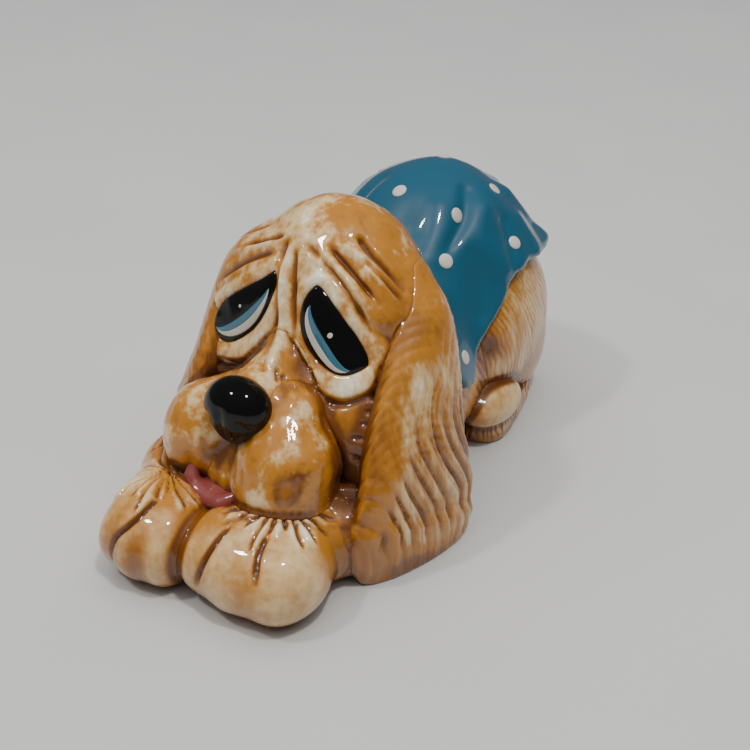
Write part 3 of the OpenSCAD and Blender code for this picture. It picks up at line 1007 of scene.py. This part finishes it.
# %% Build the blanket
BLANKET_THICKNESS, BLANKET_BEDDED, HEM_ROUND = 1.7, 1.0, 1.5
HEM = [(-12, 46), (-3, 31), (3, 20.5), (6, 20), (10, 25), (14, 28), (18, 31), (23, 35), (27, 37.5),
       (33, 38.5), (44, 37), (52, 37), (60, 39)]
BLANKET_FOLDS = [
    # points, width, height
    ([(10, 28, 54), (12, 22.5, 50), (12, 19, 47.5), (11, 16, 44.5)], 1.8, -1.0),
    ([(7, 20, 52), (8, 16, 48), (9, 12, 44)], 3.0, 0.7),
    ([(15, 28, 51), (15.5, 24, 47), (18, 23, 43), (21, 24.5, 39)], 2.2, 0.8),
    ([(17, 19, 43), (19, 17, 38), (21, 15, 33)], 3.0, -0.6),
    ([(18, 31, 47), (21, 28, 42), (23, 25, 36)], 2.2, -0.7),
    ([(20, 38, 46), (23, 38, 41), (25, 37, 38)], 2.5, 0.5),
    ([(15, 43, 50), (20, 47, 44), (23, 50, 39)], 3.5, 1.3),
    ([(3, 26, 56), (5, 20, 53), (5, 15, 49)], 2.5, -0.5),
    ([(-10, 26, 54), (-13, 20, 48), (-15, 14, 42)], 2.5, -0.8),
    ([(-16, 32, 48), (-20, 28, 42), (-22, 24, 36)], 2.4, 0.8),
    ([(-15, 43, 50), (-20, 47, 44), (-23, 50, 39)], 3.5, 1.2),
    ([(2, 44, 54), (3, 51, 47), (4, 54, 40)], 3.0, -0.7),
    ([(-8, 46, 52), (-9, 52, 45), (-10, 54, 39)], 2.6, 0.7),
    ([(10, 47, 51), (12, 52, 44), (13, 53, 39)], 2.6, 0.6),
]


def under_blanket(p):
    d = blend(torso(p), thigh(p), 6)
    return blend(d, thigh(flipped(p)), 6)


def fold_height(p):
    height = 0.25 * ripple(p, 16, 5)
    for points, width, rise in BLANKET_FOLDS:
        d, along = line_distance(p, points, 3)
        height = height + rise * np.exp(-(d / width) ** 2)
    return height


def blanket_field(p):
    body = under_blanket(p)
    hem = np.interp(p[:, 1], [y for y, _ in HEM], [z for _, z in HEM]).astype(np.float32) - p[:, 2]
    flare = 1.4 * step(p[:, 1], 30, 50) * (1 - step(-hem, 0, 6))
    outside = body - BLANKET_THICKNESS - fold_height(p) - flare
    d = both(outside, hem * 0.75, HEM_ROUND)
    head = np.minimum(skull(p), np.minimum(left_ear(p), right_ear(p)))
    return np.maximum(np.maximum(d, -(body + BLANKET_BEDDED)), -(head + 0.8))


pieces["blanket"] = made("blanket_sheet", blanket_field, ["blanket"], 0.5, 4.5)
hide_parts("blanket")

# %% [markdown]
# ## Dots of enamel
#
# The dots are drops of white enamel, all alike and set square on the blanket, which is a job
# for Geometry Nodes. A mesh with only vertices holds the places, found by walking outward from
# the body's axis until the blanket's field is crossed. The tree sets a flattened drop on every
# vertex, turned to the surface, with a little random size.

# %% Places of the dots
AXIS_Z = 28.5
DOT_AIMS = [
    # point on the axis, and a point that the ray goes through
    (24, (-2.5, 20.5, 54.5)), (32, (13.5, 36.5, 52.5)), (28, (11, 21.5, 50.8)), (32, (21, 30.5, 43)),
    (18, (12, 13.5, 43)), (6, (22, 4.6, 27.2)),
    (30, (-13, 34, 52)), (26, (-14, 20, 47)), (32, (-22, 29, 42)), (17, (-20, 13, 40)),
    (5, (-21.5, 6, 27.5)), (36, (-13, 48, 47)), (38, (0, 53, 46)), (34, (13, 50, 46)), (30, (0, 38, 57)),
]


def surface_beyond(field, start, through):
    """Last crossing of a field on the ray from start through a point, and the slope there."""
    start, through = np.array(start, np.float32), np.array(through, np.float32)
    way = (through - start) / np.linalg.norm(through - start)
    steps = np.arange(10, 40, 0.1, dtype=np.float32)
    line = start + steps[:, None] * way
    inside = np.flatnonzero(field(line) < 0)
    place = settle(field, line[inside[-1:]], 0.5)
    return place[0], slope(field, place)[0]


dot_places, dot_normals = [], []
for y, through in DOT_AIMS:
    place, normal = surface_beyond(blanket_field, (0, y, AXIS_Z), through)
    dot_places.append(place)
    dot_normals.append(normal)
dot_mesh = bpy.data.meshes.new("dot_places")
dot_mesh.from_pydata((np.array(dot_places) * MM).tolist(), [], [])
facing = dot_mesh.attributes.new("facing", "FLOAT_VECTOR", "POINT")
facing.data.foreach_set("vector", np.array(dot_normals, np.float32).ravel())
dots = bpy.data.objects.new("blanket_dot_drops", dot_mesh)
bpy.context.scene.collection.objects.link(dots)
print("dots:", len(dot_places))

# %% [markdown]
# ## A tree that sets a drop on every place
#
# The tree starts from one round ball, squashed to the drop's width and height. Instance on
# Points puts it on every vertex, Align Rotation turns its flat side to the stored direction,
# and a random value with a fixed seed makes some drops a little smaller. The tree ends by
# making the instances real and giving them their enamel, because an export drops instances.

# %% The drop scatter tree
DROP_WIDTH, DROP_HEIGHT, DROP_SPREAD = 3.4 * MM, 0.45 * MM, 0.12


def drop_tree(material):
    """Geometry Nodes tree that grows one squashed ball on each vertex of a mesh."""
    tree = bpy.data.node_groups.new("Enamel drops", "GeometryNodeTree")
    face = tree.interface
    face.new_socket("Geometry", in_out="INPUT", socket_type="NodeSocketGeometry")
    for name, value in (("Drop width", DROP_WIDTH), ("Drop height", DROP_HEIGHT), ("Size spread", DROP_SPREAD)):
        socket = face.new_socket(name, in_out="INPUT", socket_type="NodeSocketFloat")
        socket.default_value = value
    face.new_socket("Seed", in_out="INPUT", socket_type="NodeSocketInt")
    face.new_socket("Geometry", in_out="OUTPUT", socket_type="NodeSocketGeometry")
    add, link = tree.nodes.new, tree.links.new
    source, target = add("NodeGroupInput"), add("NodeGroupOutput")
    ball = add("GeometryNodeMeshUVSphere")
    ball.inputs["Segments"].default_value = 32
    ball.inputs["Rings"].default_value = 16
    ball.inputs["Radius"].default_value = 1.0
    half = add("ShaderNodeMath")
    half.operation = "MULTIPLY"
    half.inputs[1].default_value = 0.5
    size = add("ShaderNodeCombineXYZ")
    flat = add("GeometryNodeTransform")
    facing_value = add("GeometryNodeInputNamedAttribute")
    facing_value.data_type = "FLOAT_VECTOR"
    facing_value.inputs["Name"].default_value = "facing"
    turn = add("FunctionNodeAlignRotationToVector")
    turn.axis = "Z"
    spread = add("FunctionNodeRandomValue")
    lowest = add("ShaderNodeMath")
    lowest.operation = "SUBTRACT"
    lowest.inputs[0].default_value = 1.0
    scatter = add("GeometryNodeInstanceOnPoints")
    realize = add("GeometryNodeRealizeInstances")
    smooth = add("GeometryNodeSetShadeSmooth")
    paint = add("GeometryNodeSetMaterial")
    paint.inputs["Material"].default_value = material
    link(source.outputs["Drop width"], half.inputs[0])
    link(half.outputs[0], size.inputs["X"])
    link(half.outputs[0], size.inputs["Y"])
    link(source.outputs["Drop height"], size.inputs["Z"])
    link(ball.outputs["Mesh"], flat.inputs["Geometry"])
    link(size.outputs["Vector"], flat.inputs["Scale"])
    link(facing_value.outputs["Attribute"], turn.inputs["Vector"])
    link(source.outputs["Size spread"], lowest.inputs[1])
    link(lowest.outputs[0], spread.inputs[2])
    link(source.outputs["Seed"], spread.inputs["Seed"])
    link(source.outputs["Geometry"], scatter.inputs["Points"])
    link(flat.outputs["Geometry"], scatter.inputs["Instance"])
    link(turn.outputs["Rotation"], scatter.inputs["Rotation"])
    link(spread.outputs[1], scatter.inputs["Scale"])
    link(scatter.outputs["Instances"], realize.inputs["Geometry"])
    link(realize.outputs["Geometry"], smooth.inputs["Geometry"])
    link(smooth.outputs["Geometry"], paint.inputs["Geometry"])
    link(paint.outputs["Geometry"], target.inputs["Geometry"])
    return tree


# %% [markdown]
# ## Glaze materials
#
# All finishes share one idea: coloured clay or enamel under a thick clear glaze. The base layer
# is rather dull and the coat on top is almost mirror smooth, with a faint waviness. A small
# helper class keeps the node trees readable.

# %% Shader helper
class Shader:
    """Adds nodes to a new material and links them."""

    def __init__(self, name):
        self.material = bpy.data.materials.new(name)
        self.material.use_nodes = True
        self.tree = self.material.node_tree
        self.tree.nodes.clear()

    def node(self, kind, inputs=None, **settings):
        node = self.tree.nodes.new(kind)
        for key, value in settings.items():
            setattr(node, key, value)
        for key, value in (inputs or {}).items():
            if isinstance(value, bpy.types.NodeSocket):
                self.tree.links.new(value, node.inputs[key])
            else:
                node.inputs[key].default_value = value
        return node

    def math(self, operation, a, b=0.0):
        return self.node("ShaderNodeMath", {0: a, 1: b}, operation=operation).outputs[0]

    def total(self, *terms):
        """Sum of (socket or number, factor) pairs."""
        out = 0.0
        for value, factor in terms:
            out = self.math("MULTIPLY_ADD", value, factor) if out == 0.0 else self.math(
                "ADD", out, self.math("MULTIPLY", value, factor))
        return out

    def place(self, stretch=(1, 1, 1), shift=0.0):
        """Object coordinates in millimetres, stretched and shifted."""
        coords = self.node("ShaderNodeTexCoord").outputs["Object"]
        scale = tuple(1 / (MM * s) for s in stretch)
        settings = {"Vector": coords, "Scale": scale, "Location": (shift,) * 3}
        return self.node("ShaderNodeMapping", settings).outputs[0]

    def noise(self, size, detail=3.0, stretch=(1, 1, 1), shift=0.0, rough=0.55):
        """Cloudy value about 0, of roughly the given size in millimetres."""
        node = self.node("ShaderNodeTexNoise", {"Vector": self.place(stretch, shift), "Scale": 1 / size,
                                                "Detail": detail, "Roughness": rough})
        return self.math("SUBTRACT", node.outputs["Fac"], 0.5)

    def mark(self, name):
        return self.node("ShaderNodeAttribute", attribute_name=name).outputs["Fac"]

    def smooth(self, value, low, high):
        node = self.node("ShaderNodeMapRange", {"Value": value, "From Min": low, "From Max": high},
                         interpolation_type="SMOOTHSTEP")
        return node.outputs["Result"]

    def mix(self, factor, a, b):
        node = self.node("ShaderNodeMix", {"Factor": factor}, data_type="RGBA")
        for socket, value in ((node.inputs[6], a), (node.inputs[7], b)):
            if isinstance(value, bpy.types.NodeSocket):
                self.tree.links.new(value, socket)
            else:
                socket.default_value = (*value, 1)
        return node.outputs[2]

    def finish(self, color, wave=0.25, pits=0.0, **constants):
        """Glazed surface: a dull base under a smooth, slightly wavy coat."""
        surface = self.node("ShaderNodeBsdfPrincipled")
        for key, value in constants.items():
            surface.inputs[key.replace("_", " ")].default_value = value
        if isinstance(color, bpy.types.NodeSocket):
            self.tree.links.new(color, surface.inputs["Base Color"])
        else:
            surface.inputs["Base Color"].default_value = (*color, 1)
        height = self.total((self.noise(2.6, 1.0, shift=5), wave),
                            (self.noise(0.7, 2.0, shift=9), wave * 0.12))
        bump = self.node("ShaderNodeBump", {"Height": height, "Distance": 0.1 * MM, "Strength": 1.0})
        self.tree.links.new(bump.outputs[0], surface.inputs["Normal"])
        self.tree.links.new(bump.outputs[0], surface.inputs["Coat Normal"])
        out = self.node("ShaderNodeOutputMaterial")
        self.tree.links.new(surface.outputs[0], out.inputs["Surface"])
        return self.material


GLOSS = {"Roughness": 0.45, "Coat Weight": 1.0, "Coat Roughness": 0.04, "Coat IOR": 1.5, "IOR": 1.45}
IVORY, TAN = (0.92, 0.86, 0.68), (0.80, 0.57, 0.28)
# The darkest brown marks the deepest cuts and, mostly, painted shade in the hollows.
AMBER, BROWN, DARKEST_STAIN_AND_SHADE = (0.50, 0.19, 0.012), (0.17, 0.048, 0.003), (0.05, 0.014, 0.002)

# %% [markdown]
# ## Clay under an amber wash
#
# On the real dog one brush of brown-orange stain was laid over ivory clay and wiped back. It
# stays in the cuts and in the hollows between members, and the rest keeps a cloudy trace of
# it. So the colour is a level, read from the marks on the mesh and two sizes of noise, that
# runs from ivory through tan and amber to brown. A second level follows the cuts and hollows,
# and takes them from amber through brown to nearly black. In the cuts that is the stain; in
# the hollows between members it is mostly painted shade, and so is the hollows' share of the
# first level.

# %% Washed clay
def washed_clay(name, cut_depth, streak, shift, mottle):
    """Ivory clay with amber wash in patches, brown stain in the cuts and painted shade in the hollows."""
    s = Shader(name)
    cut_in = s.math("DIVIDE", s.mark("cut"), -cut_depth)
    cloud = s.noise(6.0, 3.0, streak, shift)
    fleck = s.noise(1.6, 3.0, streak, shift + 3, 0.65)
    # The hemmed mark raises the level in hollows between members: painted shade along with the wash.
    level = s.total((s.mark("wash"), 1.0), (cloud, 1.5 * mottle), (fleck, 0.9 * mottle), (cut_in, 0.4),
                    (s.mark("hemmed"), 0.45))
    color = s.mix(s.smooth(level, 0.14, 0.40), IVORY, TAN)
    color = s.mix(s.smooth(level, 0.36, 0.76), color, AMBER)
    color = s.mix(s.smooth(level, 0.85, 1.35), color, BROWN)
    # Stain in the cuts; the hemmed and wide marks add painted shade in the hollows, down to nearly black.
    stain_and_shade = s.total((cut_in, 0.75), (s.mark("hemmed"), 1.2), (s.mark("wide"), 0.3), (cloud, 0.4 * mottle),
                    (fleck, 0.45 * mottle))
    color = s.mix(s.smooth(stain_and_shade, 0.5, 0.95), color, AMBER)
    color = s.mix(s.smooth(stain_and_shade, 0.65, 1.1), color, BROWN)
    color = s.mix(s.smooth(stain_and_shade, 1.1, 2.0), color, DARKEST_STAIN_AND_SHADE)
    return s.finish(color, **GLOSS)


FUR_STREAK, HATCH_STREAK, EVEN = (1, 1, 6), (1, 1, 4), (1, 1, 1)
CLAY_FINISHES = {
    # piece: depth of its usual cut, streak, shift, mottle
    "torso": (0.25, HATCH_STREAK, 1, 0.7), "head": (1.3, (1, 1, 1.6), 2, 0.9),
    "muzzle_bridge": (1.0, (1, 1, 1.6), 2, 0.9),
    "left_flew": (0.6, EVEN, 4, 0.9), "right_flew": (0.6, EVEN, 6, 0.9),
    "chin": (0.4, EVEN, 8, 1.0),
    "left_ear": (2.3, FUR_STREAK, 10, 0.8), "right_ear": (2.3, FUR_STREAK, 12, 0.8),
    "left_foreleg": (0.3, EVEN, 14, 1.0), "right_foreleg": (0.3, EVEN, 16, 1.0),
    "left_forepaw": (0.8, EVEN, 18, 0.3), "right_forepaw": (0.8, EVEN, 20, 0.3),
    "left_thigh": (0.4, HATCH_STREAK, 22, 0.6), "right_thigh": (0.4, HATCH_STREAK, 24, 0.6),
    "left_hind_paw": (0.5, EVEN, 26, 0.35), "right_hind_paw": (0.5, EVEN, 28, 0.35),
    "left_hind_sole": (0.3, HATCH_STREAK, 30, 0.7), "right_hind_sole": (0.3, HATCH_STREAK, 32, 0.7),
    "tail": (0.3, EVEN, 34, 0.7),
}
for name, (cut_depth, streak, shift, mottle) in CLAY_FINISHES.items():
    pieces[name].data.materials.append(washed_clay(name + "_wash", cut_depth, streak, shift, mottle))

# %% [markdown]
# ## Enamels
#
# The blanket's blue varies between a thinner and a thicker tone in soft clouds. The white enamel
# is not pure white, and the black varies a little between two near-black tones.

# %% Enamel materials
def enamel(name, thin, thick, size, shift, **changes):
    """Two tones of one enamel in soft clouds."""
    s = Shader(name)
    wide_cloud = s.noise(size, 2.0, shift=shift)
    small_cloud = s.noise(size / 4, 2.0, shift=shift + 2)
    tone = s.smooth(s.total((wide_cloud, 1.0), (small_cloud, 0.3)), -0.25, 0.25)
    return s.finish(s.mix(tone, thin, thick), **{**GLOSS, **changes})


blue_blanket = enamel("blanket_blue", (0.018, 0.135, 0.215), (0.009, 0.090, 0.155), 9.0, 1.0)
iris_blue = enamel("iris_blue", (0.05, 0.24, 0.33), (0.03, 0.16, 0.24), 3.0, 2.0)
white = enamel("white_enamel", (0.74, 0.72, 0.66), (0.62, 0.60, 0.54), 3.0, 3.0)
# One white serves the real enamel dots on the blanket and the painted highlights on the eyes.
dot_and_glint_white = enamel("dot_and_glint_enamel", (0.80, 0.76, 0.70), (0.68, 0.62, 0.55), 2.0, 4.0)
black = enamel("black_glaze", (0.004, 0.0035, 0.0035), (0.001, 0.001, 0.001), 4.0, 5.0,
               **{"Roughness": 0.7, "Specular IOR Level": 0.1, "Coat Weight": 0.6})
pink = enamel("tongue_pink", (0.40, 0.10, 0.085), (0.25, 0.05, 0.042), 3.0, 6.0)
bisque = enamel("bare_bisque", (0.74, 0.66, 0.55), (0.64, 0.55, 0.44), 5.0, 7.0,
                **{"Roughness": 0.85, "Coat Weight": 0.0})
PAINTS = {"left_eye_black": black, "right_eye_black": black, "left_eye_white": white,
          "right_eye_white": white, "left_eye_blue": iris_blue, "right_eye_blue": iris_blue,
          "catchlights": dot_and_glint_white, "nose": black, "tongue": pink, "blanket": blue_blanket}
for name, material in PAINTS.items():
    pieces[name].data.materials.append(material)
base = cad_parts["base_floor"]
base.data.materials.clear()
base.data.materials.append(bisque)

# %% [markdown]
# ## Growing the dots
#
# The tree becomes a modifier on the mesh of places. Its inputs are set by each socket's
# identifier before the object is first evaluated. The result is then copied into a plain
# mesh and the modifier is taken off, so that nothing is left to compute later.

# %% Grow the dots and turn them into a plain mesh
tree = drop_tree(dot_and_glint_white)
modifier = dots.modifiers.new("Drops", "NODES")
modifier.node_group = tree
sockets = {item.name: item.identifier for item in tree.interface.items_tree if item.in_out == "INPUT"}
settings = {"Drop width": DROP_WIDTH, "Drop height": DROP_HEIGHT, "Size spread": DROP_SPREAD, "Seed": 4}
for name, value in settings.items():
    modifier[sockets[name]] = value
dots.update_tag()
grown = bpy.data.meshes.new_from_object(dots.evaluated_get(bpy.context.evaluated_depsgraph_get()))
dots.modifiers.clear()
grown.materials.clear()
grown.materials.append(dot_and_glint_white)
grown.polygons.foreach_set("material_index", [0] * len(grown.polygons))
dots.data = grown
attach(dots, "root")
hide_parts("blanket_dots")
print("dot drops:", len(grown.polygons), "faces,", [m.name for m in grown.materials])

# %% [markdown]
# ## Table and light
#
# A pale plain table and one wide soft lamp overhead. That lamp is hidden from reflections,
# because a mirror-smooth glaze would show it as a grey sheet on every rounded form. Two small
# lamps make the short bright glints that tell how glossy the glaze is.

# %% Stage
TABLE_HALF = 1.5
table_mesh = bpy.data.meshes.new("table_top")
table_corners = [(x * TABLE_HALF, y * TABLE_HALF, 0) for x, y in ((-1, -1), (1, -1), (1, 1), (-1, 1))]
table_mesh.from_pydata(table_corners, [], [(0, 1, 2, 3)])
table = bpy.data.objects.new("table_top", table_mesh)
bpy.context.scene.collection.objects.link(table)
table_shader = Shader("pale_table")
cloth = table_shader.mix(table_shader.smooth(table_shader.noise(60.0, 1.0), -0.3, 0.3), (0.58, 0.58, 0.57),
                         (0.61, 0.607, 0.59))
surface = table_shader.node("ShaderNodeBsdfPrincipled", {"Base Color": cloth, "Roughness": 0.55,
                                                         "Specular IOR Level": 0.25})
table_shader.node("ShaderNodeOutputMaterial", {"Surface": surface.outputs[0]})
table_mesh.materials.append(table_shader.material)


def lamp(name, place, aim, size, power, color=(1, 1, 1)):
    """Square area light that points at a spot."""
    data = bpy.data.lights.new(name, "AREA")
    data.size, data.energy, data.color = size, power, color
    light = bpy.data.objects.new(name, data)
    light.rotation_mode = "QUATERNION"
    light.rotation_quaternion = (Vector(aim) - Vector(place)).to_track_quat("-Z", "Y")
    light.location = place
    bpy.context.scene.collection.objects.link(light)
    return light


ceiling = lamp("ceiling", (-0.10, 0.15, 1.20), (0, 0, 0.02), 2.40, 24.0, (0.97, 0.985, 1.0))
ceiling.visible_glossy = False
lamp("spot_front", (0.22, -0.12, 0.80), (0, 0, 0.02), 0.07, 2.6, (1.0, 0.98, 0.94))
lamp("spot_left", (-0.30, -0.30, 0.70), (0, 0, 0.02), 0.06, 1.6, (1.0, 0.98, 0.95))
world = bpy.data.worlds.new("room")
bpy.context.scene.world = world
world.use_nodes = True
world.node_tree.nodes["Background"].inputs["Color"].default_value = (0.80, 0.84, 0.88, 1)
world.node_tree.nodes["Background"].inputs["Strength"].default_value = 0.14

# %% [markdown]
# ## Camera
#
# The camera stands in front of the dog, to its left and above it, near enough for the muzzle
# to look large. Its place is worked out from a turn, a rise, a roll and a distance round one
# target point, which are easier to adjust than coordinates.

# %% Camera
CAMERA_TURN, CAMERA_RISE, CAMERA_ROLL = math.radians(27.7), math.radians(31.0), math.radians(0.9)
CAMERA_TARGET, CAMERA_DISTANCE, CAMERA_LENS = (4.3, -2.4, 21.3), 246.8, 55.2
back = np.array([math.sin(CAMERA_TURN) * math.cos(CAMERA_RISE),
                 -math.cos(CAMERA_TURN) * math.cos(CAMERA_RISE),
                 math.sin(CAMERA_RISE)])
level_right = np.array([math.cos(CAMERA_TURN), math.sin(CAMERA_TURN), 0])
level_up = np.cross(back, level_right)
right = math.cos(CAMERA_ROLL) * level_right + math.sin(CAMERA_ROLL) * level_up
up = math.cos(CAMERA_ROLL) * level_up - math.sin(CAMERA_ROLL) * level_right
spot = (np.array(CAMERA_TARGET) + back * CAMERA_DISTANCE) * MM
camera_data = bpy.data.cameras.new("camera")
camera_data.lens, camera_data.sensor_width, camera_data.clip_start = CAMERA_LENS, 36, 0.01
camera = bpy.data.objects.new("camera", camera_data)
camera.matrix_world = Matrix([[*row] for row in np.column_stack([right, up, back, spot])] + [[0, 0, 0, 1]])
bpy.context.scene.collection.objects.link(camera)
bpy.context.scene.camera = camera
